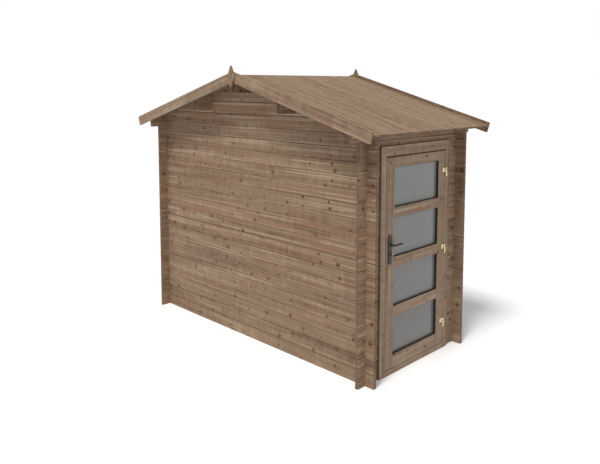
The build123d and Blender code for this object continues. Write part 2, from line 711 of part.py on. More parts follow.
def save_door():
    """The leaf, its glass, lock, hinge halves and the levers."""
    rails = rail_limits()
    save("leaf_stile_lock_side", leaf_stile(-1))
    save("leaf_stile_hinge_side", leaf_stile(1))
    save("leaf_bottom_rail", leaf_rail(rails[0]))
    save("leaf_top_rail", leaf_rail(rails[-1]))
    for number, limits in enumerate(rails[1:-1], start=1):
        save(f"leaf_mid_rail_{number}", leaf_rail(limits))
    save("glass_panes", Compound(glass_panes()))
    save("glazing_beads", Compound(glazing_beads()))
    save("hinge_leaf_halves", Compound([hinge_leaf_half(z) for z in HINGE_HEIGHTS]))
    save("lock_case", lock_case())
    save("lock_plate_outer", lock_plate(-1))
    save("lock_plate_inner", lock_plate(1))
    save("lever_outer", lever(-1))
    save("lever_inner", lever(1))
    save("lever_spindle", spindle())


os.makedirs("parts", exist_ok=True)
save_walls()
save_roof()
save_frame()
save_door()
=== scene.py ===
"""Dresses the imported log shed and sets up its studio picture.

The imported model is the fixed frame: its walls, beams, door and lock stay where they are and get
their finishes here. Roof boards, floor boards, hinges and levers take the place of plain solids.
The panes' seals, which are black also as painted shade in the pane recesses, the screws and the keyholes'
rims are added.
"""

import logging
import math
from dataclasses import dataclass
from enum import Enum
from typing import Any

import bpy
import numpy as np
from mathutils import Matrix, Vector


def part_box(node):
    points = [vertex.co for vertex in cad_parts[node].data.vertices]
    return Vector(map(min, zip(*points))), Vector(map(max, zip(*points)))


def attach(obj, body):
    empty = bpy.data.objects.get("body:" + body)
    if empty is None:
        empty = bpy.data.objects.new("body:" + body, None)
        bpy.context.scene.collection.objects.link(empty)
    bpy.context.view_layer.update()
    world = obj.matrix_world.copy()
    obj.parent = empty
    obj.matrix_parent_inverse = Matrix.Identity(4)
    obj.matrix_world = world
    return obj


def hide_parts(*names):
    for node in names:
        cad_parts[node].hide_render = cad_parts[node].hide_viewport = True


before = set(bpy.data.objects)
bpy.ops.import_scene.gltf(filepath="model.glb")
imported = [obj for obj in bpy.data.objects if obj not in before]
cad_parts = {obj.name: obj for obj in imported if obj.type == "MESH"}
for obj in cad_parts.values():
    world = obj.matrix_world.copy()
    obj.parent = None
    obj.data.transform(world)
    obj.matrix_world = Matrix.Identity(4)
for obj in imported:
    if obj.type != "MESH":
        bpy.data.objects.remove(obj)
log = logging.getLogger("shed")

Colour = tuple[float, float, float]
Triple = tuple[float, float, float]
Surface = tuple[np.ndarray, list[list[int]]]
Material = bpy.types.Material

PICTURE_WIDTH = 600
ROOF_ANGLE = math.radians(16.0)
COS, SIN = math.cos(ROOF_ANGLE), math.sin(ROOF_ANGLE)
LOCK_X = -0.378


def linear(*channels: int) -> Colour:
    """Turns a colour as seen on screen into scene-linear values.

    Args:
        channels: Red, green and blue, 0 to 255.

    Returns:
        The three linear channels, by the usual curve: a short straight foot, then a power of 2.4.
    """
    values = np.array(channels) / 255
    out = np.where(values <= 0.04045, values / 12.92, ((values + 0.055) / 1.055) ** 2.4)
    return tuple(float(v) for v in out)


class Grain(Enum):
    """The way the fibres run, as unit vectors along, across and through a board."""

    DEPTHWISE = ((0.0, 1.0, 0.0), (0.0, 0.0, 1.0), (1.0, 0.0, 0.0))
    SIDEWAYS = ((1.0, 0.0, 0.0), (0.0, 0.0, 1.0), (0.0, 1.0, 0.0))
    UPRIGHT = ((0.0, 0.0, 1.0), (1.0, 0.0, 0.0), (0.0, 1.0, 0.0))
    FRONT_SLOPE = ((0.0, COS, SIN), (1.0, 0.0, 0.0), (0.0, -SIN, COS))
    BACK_SLOPE = ((0.0, COS, -SIN), (1.0, 0.0, 0.0), (0.0, SIN, COS))


class Sock:
    """A value inside a material, which can be used in plain arithmetic."""

    def __init__(self, sheet: "Sheet", socket: bpy.types.NodeSocket) -> None:
        """Keeps the sheet that the value is on and the socket it comes out of."""
        self.sheet = sheet
        self.socket = socket

    def math(self, operation: str, *others: "Sock | float") -> "Sock":
        """Adds one Math node.

        Args:
            operation: The node's operation.
            others: The second and third value, where the operation takes them.

        Returns:
            The node's result.
        """
        return self.sheet.node("ShaderNodeMath", {"operation": operation}, dict(enumerate((self, *others))))

    def __add__(self, other: "Sock | float") -> "Sock":
        """Sum."""
        return self.math("ADD", other)

    __radd__ = __add__

    def __sub__(self, other: "Sock | float") -> "Sock":
        """Difference."""
        return self.math("SUBTRACT", other)

    def __rsub__(self, other: float) -> "Sock":
        """Difference, with this value second."""
        return self.sheet.node("ShaderNodeMath", {"operation": "SUBTRACT"}, {0: other, 1: self})

    def __mul__(self, other: "Sock | float") -> "Sock":
        """Product."""
        return self.math("MULTIPLY", other)

    __rmul__ = __mul__

    def __truediv__(self, other: "Sock | float") -> "Sock":
        """Quotient."""
        return self.math("DIVIDE", other)

    def floor(self) -> "Sock":
        """The whole part, rounded down."""
        return self.math("FLOOR")

    def abs(self) -> "Sock":
        """The value without its sign."""
        return self.math("ABSOLUTE")

    def ramp(self, low: float, high: float) -> "Sock":
        """A smooth rise from 0 at low to 1 at high, or a fall where low is the larger.

        Args:
            low: The value at which the result is 0.
            high: The value at which the result is 1.

        Returns:
            The smooth step between them.
        """
        settings = {"interpolation_type": "SMOOTHSTEP", "clamp": True}
        ends = (low, high, 0.0, 1.0) if low < high else (high, low, 1.0, 0.0)
        return self.sheet.node("ShaderNodeMapRange", settings, dict(enumerate((self, *ends))))


class Sheet:
    """The node tree of a material or of the world, with one way of adding a node."""

    def __init__(self, owner: "Material | bpy.types.World") -> None:
        """Empties the owner's node tree."""
        self.owner = owner
        owner.use_nodes = True
        self.tree = owner.node_tree
        self.tree.nodes.clear()

    @classmethod
    def new(cls, name: str) -> "Sheet":
        """Starts an empty material of that name."""
        return cls(bpy.data.materials.new(name))

    def node(self, kind: str, settings: dict[str, Any] | None = None,
             inputs: dict[int | str, Any] | None = None, output: int | str = 0) -> Sock:
        """Adds one node: its settings first, then the values or links of its sockets.

        Args:
            kind: The node's type.
            settings: Attributes to set before the sockets.
            inputs: Values, colours or other results, by socket name or number.
            output: Which output to hand on.

        Returns:
            That output.
        """
        made = self.tree.nodes.new(kind)
        for name, value in (settings or {}).items():
            setattr(made, name, value)
        for key, value in (inputs or {}).items():
            socket = made.inputs[key]
            if isinstance(value, Sock):
                self.tree.links.new(value.socket, socket)
            elif isinstance(value, tuple) and len(value) == 3 and socket.type == "RGBA":
                socket.default_value = (*value, 1.0)
            else:
                socket.default_value = value
        return Sock(self, made.outputs[output])

    def place(self) -> Sock:
        """The point's place on the object, in metres."""
        return self.node("ShaderNodeTexCoord", output="Object")

    def dot(self, vector: Sock, direction: Triple) -> Sock:
        """How far a vector reaches along a direction."""
        return self.pair("DOT_PRODUCT", vector, direction, output="Value")

    def pair(self, operation: str, *vectors: "Sock | Triple", output: int | str = 0) -> Sock:
        """One or two vectors through a Vector Math node."""
        return self.node("ShaderNodeVectorMath", {"operation": operation}, dict(enumerate(vectors)), output)

    def vector(self, x: "Sock | float", y: "Sock | float", z: "Sock | float") -> Sock:
        """Three values as one vector."""
        return self.node("ShaderNodeCombineXYZ", None, {0: x, 1: y, 2: z})

    def parts(self, colour: Sock) -> tuple[Sock, Sock, Sock]:
        """The three channels of a colour."""
        first = self.node("ShaderNodeSeparateColor", None, {0: colour})
        return tuple(Sock(self, output) for output in first.socket.node.outputs)

    def random(self, number: Sock, seed: float) -> tuple[Sock, Sock, Sock]:
        """Three random values of a whole number."""
        inputs = {"Vector": self.vector(number, seed, 0.5)}
        return self.parts(self.node("ShaderNodeTexWhiteNoise", {"noise_dimensions": "3D"}, inputs, "Color"))

    def facing(self) -> Sock:
        """The way the surface faces."""
        return self.node("ShaderNodeTexCoord", output="Normal")

    def cells(self, place: Sock, jitter: float) -> tuple[Sock, Sock]:
        """Finds the nearest cell of a flat jittered grid.

        Args:
            place: The point, counted in cells.
            jitter: How far the cells' middles stray, 0 to 1.

        Returns:
            The cell's middle and its random colour.
        """
        settings = {"voronoi_dimensions": "2D", "feature": "F1"}
        inputs = {"Vector": place, "Scale": 1.0, "Randomness": jitter}
        middle = self.node("ShaderNodeTexVoronoi", settings, inputs, "Position")
        return middle, Sock(self, middle.socket.node.outputs["Color"])

    def noise(self, place: Sock, scale: float, detail: float, roughness: float = 0.5) -> Sock:
        """Smooth noise around 0.5, at a scale in cycles per metre."""
        inputs = {"Vector": place, "Scale": scale, "Detail": detail, "Roughness": roughness}
        return self.node("ShaderNodeTexNoise", None, inputs, "Fac")

    def mix(self, factor: "Sock | float", first: "Sock | Colour", second: "Sock | Colour",
            blend: str = "MIX") -> Sock:
        """One colour over another.

        Args:
            factor: How much of the second colour shows.
            first: The colour underneath.
            second: The colour on top.
            blend: How the two are blended.

        Returns:
            The blended colour.
        """
        settings = {"data_type": "RGBA", "blend_type": blend}
        return self.node("ShaderNodeMix", settings, {0: factor, 6: first, 7: second}, 2)

    def grey(self, value: Sock) -> Sock:
        """A value as a grey colour, for multiplying into another."""
        return self.node("ShaderNodeCombineColor", None, {0: value, 1: value, 2: value})

    def bump(self, height: Sock, distance: float, strength: float) -> Sock:
        """A normal tilted by a height in metres times the distance."""
        inputs = {"Height": height, "Distance": distance, "Strength": strength}
        return self.node("ShaderNodeBump", None, inputs, "Normal")

    def finish(self, **sockets: Any) -> Material:
        """Adds the surface shader and the output.

        Args:
            sockets: The shader's sockets, with underscores for spaces.

        Returns:
            The finished material.
        """
        inputs = {name.replace("_", " "): value for name, value in sockets.items()}
        self.output(self.node("ShaderNodeBsdfPrincipled", None, inputs), "ShaderNodeOutputMaterial")
        return self.owner

    def output(self, shader: Sock, kind: str) -> None:
        """Links a shader to the tree's output."""
        out = self.tree.nodes.new(kind)
        self.tree.links.new(shader.socket, out.inputs["Surface"])


@dataclass(frozen=True)
class Stretch:
    """Smooth noise drawn out along the fibres, in cycles per metre each way."""

    along: float
    across: float
    through: float
    detail: float
    roughness: float = 0.5
    start: Triple = (0.0, 0.0, 0.0)


@dataclass(frozen=True)
class WoodFinish:
    """Treated softwood: the colours of its fibres, its knots and the size of its boards."""

    name: str
    grain: Grain
    light: Colour = linear(172, 148, 122)
    middle: Colour = linear(141, 116, 93)
    dark: Colour = linear(112, 86, 66)
    pink: Colour = linear(148, 106, 82)
    olive: Colour = linear(138, 120, 93)
    knot: Colour = linear(80, 46, 30)
    knot_rim: Colour = linear(120, 80, 56)
    # joint: colour of the painted shade and dirt in the joints, and of the end grain
    joint: Colour = linear(84, 58, 43)
    # line: colour of the painted highlight beside each joint
    line: Colour = linear(196, 174, 150)
    board: float = 10.0          # height of a board across the grain
    first_joint: float = 0.0     # where a joint between boards lies
    turned: bool = False         # whether boards are counted through the thickness direction
    groove_shade_and_dirt: float = 0.0      # strength of the painted shade and dirt in the grooves between boards
    tint_spread: float = 0.10    # brightness from board to board
    knot_share: float = 0.5      # share of knot places that hold a knot
    knot_length: float = 0.24    # spacing of knot places along the board
    knot_width: float = 0.075    # spacing of knot places across the board
    knot_size: float = 1.0       # scale of the knots
    streak: float = 1.0          # contrast of the streaks
    end_dark: float = 0.35       # how much darker the end grain is; on the purlins also painted shade
    roughness: float = 0.72
    rough_spread: float = 0.16
    relief: float = 0.0007       # depth of the fibres' relief in metres
    ring_width: float = 0.0052
    shifts: Triple = (31.0, 7.0, 5.0)    # how far boards' patterns lie apart in metres
    broad: Stretch = Stretch(0.8, 18.0, 14.0, 3.0, 0.55)
    narrow: Stretch = Stretch(1.4, 75.0, 50.0, 3.0, 0.6)
    pale: Stretch = Stretch(0.5, 46.0, 30.0, 2.0, start=(0.0, 0.0, 5.0))
    marks: Stretch = Stretch(16.0, 5.0, 5.0, 2.0, 0.6)
    fibre: Stretch = Stretch(14.0, 420.0, 300.0, 2.0, 0.6)
    hue: Stretch = Stretch(1.9, 24.0, 16.0, 2.0, start=(0.0, 3.0, 0.0))
    ripple: Stretch = Stretch(3.0, 24.0, 24.0, 2.0)

    def material(self) -> Material:
        """The wood as a material."""
        return Timber(self).build()


class Timber(Sheet):
    """The sheet of one wood.

    Each board is cut from its own trunk: rings are the distance from a pith line that wanders
    along the board, so faces show long grain and ends show rings. Streaks are noise drawn
    out along the fibres. A knot is a dark ellipse that bends the rings around it. Faces
    across the fibres are darker, as end grain is; on the purlins they are darker still, as
    painted shade.
    """

    def __init__(self, wood: WoodFinish) -> None:
        """Finds each point's board, the board's random values and the place on the board.

        Args:
            wood: The finish to build.
        """
        super().__init__(bpy.data.materials.new(wood.name))
        self.wood = wood
        along, across, through = wood.grain.value
        self.axes = (along, through, across) if wood.turned else (along, across, through)
        point = self.place()
        self.spot = [self.dot(point, axis) for axis in self.axes]
        self.board = (self.spot[1] - wood.first_joint) / wood.board
        self.number = self.board.floor()
        self.own = self.random(self.number, len(wood.name) * 1.37)
        self.moved = [value + share * shift for value, share, shift in zip(self.spot, self.own, wood.shifts)]

    def build(self) -> Material:
        """Builds the wood from its knots, rings, streaks and joints, whose lines are painted shade with dirt
        and a painted highlight.

        Returns:
            The material.
        """
        wood = self.wood
        core, rim, halo = self.knots()
        rings = self.rings(halo)
        tone, fibre = self.streaks()
        colour = self.colour(tone - halo * 0.10 - rings * 0.12)
        colour = self.mix(rim * 0.7, colour, wood.knot_rim)
        colour = self.mix(core * 0.85, colour, wood.knot)
        # Painted shade and dirt in the joints, and a painted highlight beside them.
        if wood.groove_shade_and_dirt > 0:
            colour = self.joints(colour)
        # End grain is darker; on the purlins it is darker still as painted shade.
        end = self.dot(self.facing(), self.axes[0]).abs().ramp(0.75, 0.95)
        colour = self.mix(end * wood.end_dark, colour, wood.joint)
        height = fibre * 0.5 + rings * 0.35 - core * 0.6
        rough = fibre * wood.rough_spread + (wood.roughness - wood.rough_spread / 2)
        return self.finish(
            Base_Color=colour,
            Roughness=rough - core * 0.12,
            Normal=self.bump(height, wood.relief, 0.8),
            Specular_IOR_Level=0.35,
        )

    def stretched(self, noise: Stretch, place: list[Sock]) -> Sock:
        """Draws a noise out along the fibres.

        Args:
            noise: Its frequencies.
            place: Place along, across and through the board.

        Returns:
            The noise around 0.5.
        """
        scaled = [value * scale for value, scale in zip(place, (noise.along, noise.across, noise.through))]
        begun = [value + start if start else value for value, start in zip(scaled, noise.start)]
        return self.noise(self.vector(*begun), 1.0, noise.detail, noise.roughness)

    def knots(self) -> tuple[Sock, Sock, Sock]:
        """Knots on a jittered grid of places along and across the board.

        Returns:
            The knot's core, its brown rim, and a wide soft mask around it.
        """
        wood, (length, height, _) = self.wood, self.moved
        spot = self.vector(length / wood.knot_length, height / wood.knot_width, 0.0)
        middle, chance = self.cells(spot, 0.85)
        share, size, _ = self.parts(chance)
        gap = self.pair("SUBTRACT", spot, middle)
        metres = self.pair("MULTIPLY", gap, (wood.knot_length * 0.85, wood.knot_width, 0.0))
        wobble = self.noise(self.vector(length * 60.0, height * 60.0, 0.0), 1.0, 1.0) * 0.004
        distance = self.pair("LENGTH", metres, output="Value") + wobble
        reach = distance / ((size * 0.0085 + 0.0055) * wood.knot_size)
        there = share.ramp(wood.knot_share + 0.06, wood.knot_share - 0.10)
        return reach.ramp(1.35, 0.75) * there, reach.ramp(2.1, 0.9) * there, reach.ramp(4.2, 0.6) * there

    def rings(self, halo: Sock) -> Sock:
        """Growth rings: distance from the pith, in ring widths, with a sharp late edge.

        Args:
            halo: The soft mask around knots, which bends the rings.

        Returns:
            The latewood lines, 0 to 1.
        """
        wood, own, (along, across, through) = self.wood, self.own, self.spot
        middle = (self.number + 0.5) * wood.board + wood.first_joint
        line = self.vector(along * 0.9 + own[0] * 9.0, own[1] * 7.0, own[2] * 3.0)
        drift = self.noise(line, 1.0, 2.0) - 0.5
        side = across - middle + (own[1] - 0.5) * 0.09 + drift * 0.05
        deep = through + (own[2] - 0.5) * 0.05 + 0.055
        radius = (side * side + deep * deep).math("SQRT")
        bend = (self.stretched(wood.ripple, self.spot) + halo) * 0.006
        return ((radius + bend) / wood.ring_width).math("FRACT").math("POWER", 3.0)

    def streaks(self) -> tuple[Sock, Sock]:
        """Tone that runs with the fibres, from broad bands to single fibres, and marks across them.

        Returns:
            The tone around 0.5, and the fine fibres alone.
        """
        wood = self.wood
        tone = self.stretched(wood.pale, self.moved).ramp(0.58, 0.70) * (0.55 * wood.streak)
        for band, weight in ((wood.broad, 1.5), (wood.narrow, 1.0), (wood.marks, 0.70)):
            tone = tone + (self.stretched(band, self.moved) - 0.5) * (weight * wood.streak)
        fibre = self.stretched(wood.fibre, self.moved)
        return tone + (fibre - 0.5) * 0.35 + 0.5, fibre

    def colour(self, tone: Sock) -> Sock:
        """The fibre colour at a tone, with pink and olive bands and the board's own tint.

        Args:
            tone: The tone around 0.5.

        Returns:
            The colour.
        """
        wood = self.wood
        low = self.mix(tone.ramp(0.05, 0.5), wood.dark, wood.middle)
        full = self.mix(tone.ramp(0.5, 0.98), low, wood.light)
        hue = self.stretched(wood.hue, self.moved) + (self.own[2] - 0.5) * 0.22
        tinted = self.mix(hue.ramp(0.52, 0.74) * 0.5, full, wood.pink)
        tinted = self.mix(hue.ramp(0.47, 0.27) * 0.45, tinted, wood.olive)
        level = self.own[1] * wood.tint_spread + (1.0 - wood.tint_spread / 2)
        return self.mix(1.0, tinted, self.grey(level), "MULTIPLY")

    def joints(self, colour: Sock) -> Sock:
        """A dark line of painted shade and dirt in each joint and a pale line of painted highlight beside
        it, each of its own strength.

        Args:
            colour: The colour of the wood.

        Returns:
            The colour with the lines.
        """
        wood = self.wood
        nearest = (self.board + 0.5).floor()
        own = self.random(nearest, len(wood.name) * 2.11 + 3.0)
        offset = (self.board - nearest) * wood.board
        # dark: painted shade and dirt in the groove of the joint.
        dark = offset.abs().ramp(0.0045, 0.0012) * (own[0].ramp(0.35, 0.95) * 0.75 + 0.25)
        side = (own[1].ramp(0.48, 0.52) * 2.0 - 1.0) * 0.0095
        highlight_patches = self.noise(self.vector(self.spot[0] * 1.1, nearest * 3.7, 2.0), 1.0, 2.0).ramp(0.38, 0.62)
        # pale: a painted highlight on the bevel beside the joint, in patches along it.
        pale = (offset - side).abs().ramp(0.0065, 0.002) * own[2].ramp(0.15, 0.75) * highlight_patches
        lined = self.mix(pale * 0.62, colour, wood.line)
        return self.mix(dark * wood.groove_shade_and_dirt, lined, wood.joint)


@dataclass(frozen=True)
class MetalFinish:
    """Metal with fine scratches and worn spots."""

    name: str
    colour: Colour
    roughness: float
    metallic: float = 1.0
    grain_scale: float = 260.0
    spread: float = 0.12
    side: float = 1.0            # brightness of the faces that do not look along Y, a painted shade on the sides

    def material(self) -> Material:
        """Mottles the colour and the roughness with two noises, and where side is below 1 darkens the faces
        that do not look along Y as painted shade.

        Returns:
            The material.
        """
        sheet = Sheet.new(self.name)
        place = sheet.place()
        fine = sheet.noise(place, self.grain_scale, 3.0, 0.6)
        cloud = sheet.noise(place, self.grain_scale / 12, 2.0)
        darker = tuple(c * 0.72 for c in self.colour)
        colour = sheet.mix(cloud.ramp(0.3, 0.75), darker, self.colour)
        # Painted shade: faces that do not look along Y are darkened.
        if self.side < 1:
            front = sheet.dot(sheet.facing(), (0.0, 1.0, 0.0)).abs().ramp(0.6, 0.95)
            colour = sheet.mix(front, tuple(c * self.side for c in self.colour), colour)
        return sheet.finish(
            Base_Color=colour,
            Metallic=self.metallic,
            Roughness=fine * self.spread + cloud * self.spread + (self.roughness - self.spread),
            Normal=sheet.bump(fine, 0.0002, 0.5),
        )


@dataclass(frozen=True)
class GlassFinish:
    """Grey pane that shows little of the room behind it."""

    name: str = "grey_glass"
    colour: Colour = linear(141, 141, 140)
    low_colour: Colour = linear(125, 124, 121)
    low_z: float = 0.15
    high_z: float = 1.75

    def material(self) -> Material:
        """A smooth grey sheet, a little darker towards the ground, with faint ripples.

        Returns:
            The material.
        """
        sheet = Sheet.new(self.name)
        place = sheet.place()
        height = sheet.dot(place, (0.0, 0.0, 1.0))
        colour = sheet.mix(height.ramp(self.low_z, self.high_z), self.low_colour, self.colour)
        ripple = sheet.noise(place, 5.0, 1.0)
        return sheet.finish(Base_Color=colour, Roughness=ripple * 0.06 + 0.12,
                            Normal=sheet.bump(ripple, 0.0006, 0.3))


@dataclass(frozen=True)
class RubberFinish:
    """Black glazing seal, dark also as painted shade in the pane recesses."""

    name: str = "black_seal"
    colour: Colour = linear(30, 25, 22)

    def material(self) -> Material:
        """Matt black with a little dust.

        Returns:
            The material.
        """
        sheet = Sheet.new(self.name)
        dust = sheet.noise(sheet.place(), 90.0, 3.0)
        colour = sheet.mix(dust.ramp(0.5, 0.8) * 0.5, self.colour, linear(60, 54, 48))
        return sheet.finish(Base_Color=colour, Roughness=dust * 0.2 + 0.55)


class Finishes:
    """Every finish of the shed, made once."""

    PITCH = 0.113

    def __init__(self) -> None:
        """Makes the materials."""
        # The logs' joints get painted shade and dirt in the groove and a painted highlight beside it.
        logs = {"board": self.PITCH, "groove_shade_and_dirt": 0.8, "tint_spread": 0.12}
        self.gable = WoodFinish("gable_logs", Grain.DEPTHWISE, **logs).material()
        cross = {"light": linear(180, 156, 130), "middle": linear(152, 126, 102),
                 "dark": linear(120, 93, 72), "first_joint": self.PITCH / 2, "end_dark": 0.55}
        self.cross = WoodFinish("cross_logs", Grain.SIDEWAYS, **logs, **cross).material()
        # The purlins' end grain is darkened further as painted shade under the bargeboards.
        purlin_with_end_shade = {"joint": linear(62, 36, 25), "end_dark": 0.85}
        self.purlin_with_end_shade = WoodFinish("purlin_wood", Grain.SIDEWAYS, **purlin_with_end_shade).material()
        joinery = {"light": linear(182, 160, 136), "middle": linear(157, 134, 112),
                   "dark": linear(124, 100, 82), "knot_share": 0.3, "knot_size": 0.8}
        self.upright = WoodFinish("upright_wood", Grain.UPRIGHT, **joinery).material()
        self.rail = WoodFinish("rail_wood", Grain.SIDEWAYS, **joinery).material()
        roof = {"light": linear(152, 128, 101), "middle": linear(135, 112, 87),
                "dark": linear(111, 87, 66), "board": RoofBoards.pitch(),
                "first_joint": -RoofBoards.half_width, "tint_spread": 0.07,
                "knot_share": 0.26, "streak": 1.5}
        self.roof_front = WoodFinish("roof_front_boards", Grain.FRONT_SLOPE, **roof).material()
        self.roof_back = WoodFinish("roof_back_boards", Grain.BACK_SLOPE, **roof).material()
        trim = {"light": linear(168, 146, 122), "middle": linear(145, 121, 99),
                "dark": linear(118, 93, 74), "knot_share": 0.25, "turned": True, "streak": 1.35}
        self.trim_front = WoodFinish("front_bargeboard", Grain.FRONT_SLOPE, **trim).material()
        self.trim_back = WoodFinish("back_bargeboard", Grain.BACK_SLOPE, **trim).material()
        finial = {"turned": True, "knot_share": 0.0}
        self.finial = WoodFinish("finial_wood", Grain.UPRIGHT, **finial).material()
        floor = {"turned": True, "board": 0.112, "first_joint": -0.6315}
        self.floor = WoodFinish("floor_wood", Grain.DEPTHWISE, **floor).material()
        self.glass = GlassFinish().material()
        self.seal_and_shade = RubberFinish().material()
        self.brass = MetalFinish("bright_brass", linear(238, 227, 186), 0.24).material()
        self.screw = MetalFinish("dull_brass", linear(84, 62, 28), 0.45).material()
        # The plate's sides are darkened almost to black as painted shade.
        self.plate = MetalFinish("black_plate", linear(62, 57, 59), 0.5, metallic=0.0, side=0.12).material()
        self.black = MetalFinish("black_handle", linear(16, 15, 15), 0.5, metallic=0.0).material()
        self.steel = MetalFinish("zinc_steel", linear(176, 176, 172), 0.4).material()


def closed_quads(rows: int, columns: int) -> np.ndarray:
    """Faces of a grid whose columns close on themselves.

    Args:
        rows: Rows of points.
        columns: Points in a row, the last joined to the first.

    Returns:
        One row of four point numbers for each face.
    """
    r, c = np.meshgrid(np.arange(rows - 1), np.arange(columns), indexing="ij")
    here, right = r * columns + c, r * columns + (c + 1) % columns
    return np.stack((here, right, right + columns, here + columns), -1).reshape(-1, 4)


def show(name: str, data: bpy.types.ID) -> bpy.types.Object:
    """Puts a mesh, light or camera into the scene.

    Args:
        name: The object's name.
        data: What it shows.

    Returns:
        The object.
    """
    made = bpy.data.objects.new(name, data)
    bpy.context.scene.collection.objects.link(made)
    return made


def piece(name: str, parts: list[Surface], material: Material, body: str,
          sharp: float = 0.0) -> bpy.types.Object:
    """Joins surfaces into one mesh piece that rides on a body.

    Args:
        name: The piece's name.
        parts: Surfaces, with points in metres in the shed's own frame.
        material: The finish.
        body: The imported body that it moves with.
        sharp: Angle in degrees above which an edge is shaded sharp, or 0 for flat faces.

    Returns:
        The piece.
    """
    starts = np.cumsum([0] + [len(points) for points, _ in parts]).tolist()
    faces = [[n + start for n in face] for start, (_, own) in zip(starts, parts) for face in own]
    mesh = bpy.data.meshes.new(name)
    mesh.from_pydata(np.concatenate([points for points, _ in parts]).tolist(), [], faces)
    mesh.validate()
    mesh.polygons.foreach_set("use_smooth", np.full(len(mesh.polygons), sharp > 0))
    if sharp > 0:
        mesh.set_sharp_from_angle(angle=math.radians(sharp))
    mesh.materials.append(material)
    made = show(name, mesh)
    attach(made, body)
    return made


def ring(rows: np.ndarray) -> Surface:
    """Closes a section that is carried round a closed path.

    Args:
        rows: The section's points at each point of the path, as path by section by three.

    Returns:
        The points, and faces between neighbouring sections, the last joined to the first.
    """
    count, around = rows.shape[:2]
    faces = closed_quads(count + 1, around) % (count * around)
    return rows.reshape(-1, 3), faces.tolist()


def loft(rows: np.ndarray) -> Surface:
    """Closes a stack of closed outlines into a solid's surface.

    Args:
        rows: Outlines of equal length, as rows by points by three.

    Returns:
        The points, and faces between neighbouring outlines with one face on either end.
    """
    count, around = rows.shape[:2]
    sides = closed_quads(count, around).tolist()
    last = (count - 1) * around
    ends = [list(range(around - 1, -1, -1)), list(range(last, last + around))]
    return rows.reshape(-1, 3), sides + ends


def circle(count: int) -> np.ndarray:
    """The angles of points spread evenly round a full turn."""
    return np.linspace(0, 2 * math.pi, count, endpoint=False)


def turned(profile: list[tuple[float, float]]) -> np.ndarray:
    """Turns a profile about Z.

    Args:
        profile: Height and radius of each ring.

    Returns:
        The rings, as rows by points by three.
    """
    return np.array([[(r * math.cos(a), r * math.sin(a), z) for a in circle(28)] for z, r in profile])


def bevelled(width: float, height: float, bevel: float) -> np.ndarray:
    """Outline of a board's section with its four corners cut at 45 degrees."""
    w, h, b = width, height, bevel
    return np.array([(b, 0), (w - b, 0), (w, b), (w, h - b), (w - b, h), (b, h), (0, h - b), (0, b)])


def spread(rows: np.ndarray, left: float, pitch: float, count: int) -> list[Surface]:
    """Repeats one board's outlines along X, with the first board's edge at left."""
    return [loft(rows + (left + number * pitch, 0.0, 0.0)) for number in range(count)]


@dataclass
class RoofBoards:
    """Boards that run down one slope of the roof, mitred at the ridge and cut square at the eave."""

    grain: Grain
    half_width: float = 0.8417
    count: int = 18
    thickness: float = 0.018
    gap: float = 0.0003
    bevel: float = 0.0007

    @classmethod
    def pitch(cls) -> float:
        """Distance from one board to the next."""
        return 2 * cls.half_width / cls.count

    def build(self, name: str, node: str, material: Material) -> None:
        """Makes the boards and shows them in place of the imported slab.

        A point is the apex, plus its place across, plus its distance along the slope, plus its
        height square to the slope. The upper end starts at minus the height times the slope's
        tangent, which puts the cut upright over the ridge.

        Args:
            name: The piece's name.
            node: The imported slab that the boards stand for.
            material: The finish.
        """
        sign = -1.0 if self.grain is Grain.FRONT_SLOPE else 1.0
        low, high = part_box("roof_back_slope")
        apex = high.z - self.thickness / COS
        run = (apex - low.z) / SIN
        down = np.array((0.0, sign * COS, -SIN))
        up = np.array((0.0, sign * SIN, COS))
        section = bevelled(self.pitch() - self.gap, self.thickness, self.bevel)
        begin = -section[:, 1] * math.tan(ROOF_ANGLE) + self.gap
        rows = np.stack((begin, np.full(len(section), run)))[:, :, None] * down + section[:, 1:] * up
        rows += np.insert(section[:, :1], (1, 1), (0.0, apex), axis=1)
        rows = rows if sign > 0 else rows[:, ::-1]
        boards = spread(rows, self.gap / 2 - self.half_width, self.pitch(), self.count)
        made = piece(name, boards, material, "shed")
        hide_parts(node)


@dataclass
class FloorBoards:
    """Planed boards of the floor, side by side along the shed."""

    node: str = "floor_boards"
    count: int = 11
    gap: float = 0.0015
    bevel: float = 0.0015

    def build(self, material: Material) -> None:
        """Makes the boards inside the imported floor's box and shows them in its place.

        Args:
            material: The finish.
        """
        low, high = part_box(self.node)
        pitch = (high.x - low.x) / self.count
        section = bevelled(pitch - self.gap, high.z - low.z, self.bevel)
        rows = np.zeros((2, len(section), 3))
        rows[..., (0, 2)] = section + (0.0, low.z)
        rows[..., 1] = ((high.y,), (low.y,))
        boards = spread(rows, low.x + self.gap / 2, pitch, self.count)
        made = piece("floor_planks", boards, material, "shed")
        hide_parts(self.node)


